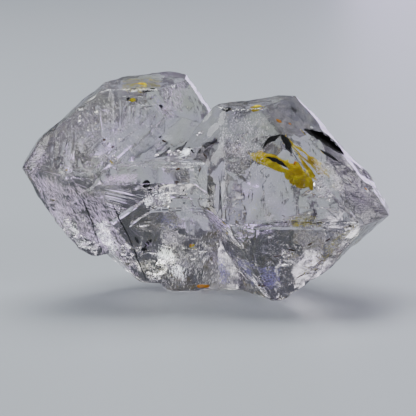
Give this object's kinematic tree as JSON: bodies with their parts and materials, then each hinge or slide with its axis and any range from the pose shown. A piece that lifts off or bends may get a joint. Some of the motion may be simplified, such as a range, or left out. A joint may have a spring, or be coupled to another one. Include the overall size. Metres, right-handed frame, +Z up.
{
  "type": "petroleum quartz",
  "caption": "Clear doubly terminated quartz crystals grown together, lying on their side, with yellow petroleum and black bitumen sealed inside.",
  "frame": {"origin": "middle of the stone's footprint on the surface it rests on", "axes": "+X along the length of both crystals (their c axis), towards the right-hand crystal; +Y away from the camera; +Z up"},
  "size_m": [0.0238, 0.0136, 0.0137],
  "materials": {
    "quartz": "clear, glossy natural crystal faces",
    "petroleum": "clear yellow liquid",
    "bitumen": "black, glossy, tar-like"
  },
  "bodies": {
    "root": {"quartz_front": "quartz", "quartz_back": "quartz", "petroleum": "petroleum", "bitumen": "bitumen"}
  },
  "joints": []
}
